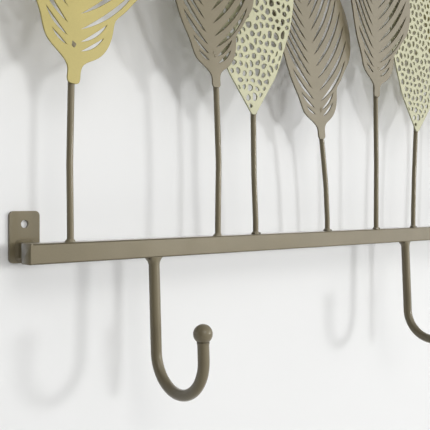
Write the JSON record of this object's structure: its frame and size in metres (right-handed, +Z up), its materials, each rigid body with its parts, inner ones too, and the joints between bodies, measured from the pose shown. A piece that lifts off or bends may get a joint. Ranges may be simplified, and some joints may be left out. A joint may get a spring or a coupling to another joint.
{
  "type": "coat rack",
  "caption": "Wall coat rack: square-tube rail with ball-tipped J-hooks below and laser-cut metal leaves on wire stems above.",
  "frame": {"origin": "on the wall plane, at the middle of the three screw holes", "axes": "+X along the rail, +Z up, -Y out of the wall towards the room"},
  "size_m": [1.0274, 0.0927, 0.442],
  "materials": {
    "taupe_metal": "satin powder coat, warm grey-brown",
    "gold_metal": "satin metallic lacquer, soft gold",
    "pale_gold_metal": "satin metallic lacquer, pale champagne gold"
  },
  "bodies": {
    "root": {"rail": "taupe_metal", "end_cap_left": "taupe_metal", "end_cap_right": "taupe_metal", "standoff_left": "taupe_metal", "wall_plate_left": "taupe_metal", "standoff_middle": "taupe_metal", "wall_plate_middle": "taupe_metal", "standoff_right": "taupe_metal", "wall_plate_right": "taupe_metal", "hook_1": "taupe_metal", "hook_ball_1": "taupe_metal", "hook_2": "taupe_metal", "hook_ball_2": "taupe_metal", "hook_3": "taupe_metal", "hook_ball_3": "taupe_metal", "hook_4": "taupe_metal", "hook_ball_4": "taupe_metal", "stem_a": "taupe_metal", "leaf_a": "gold_metal", "stem_b": "taupe_metal", "leaf_b": "taupe_metal", "stem_c": "taupe_metal", "leaf_c": "pale_gold_metal", "stem_d": "taupe_metal", "leaf_d": "taupe_metal", "stem_e": "taupe_metal", "leaf_e": "taupe_metal", "stem_f": "taupe_metal", "leaf_f": "pale_gold_metal", "stem_g": "taupe_metal", "leaf_g": "gold_metal", "stem_h": "taupe_metal", "leaf_h": "taupe_metal", "stem_i": "taupe_metal", "leaf_i": "pale_gold_metal", "stem_j": "taupe_metal", "leaf_j": "taupe_metal", "stem_k": "taupe_metal", "leaf_k": "gold_metal", "stem_l": "taupe_metal", "leaf_l": "taupe_metal", "stem_m": "taupe_metal", "leaf_m": "pale_gold_metal", "stem_n": "taupe_metal", "leaf_n": "taupe_metal", "stem_o": "taupe_metal", "leaf_o": "gold_metal", "stem_p": "taupe_metal", "leaf_p": "taupe_metal"}
  },
  "joints": []
}
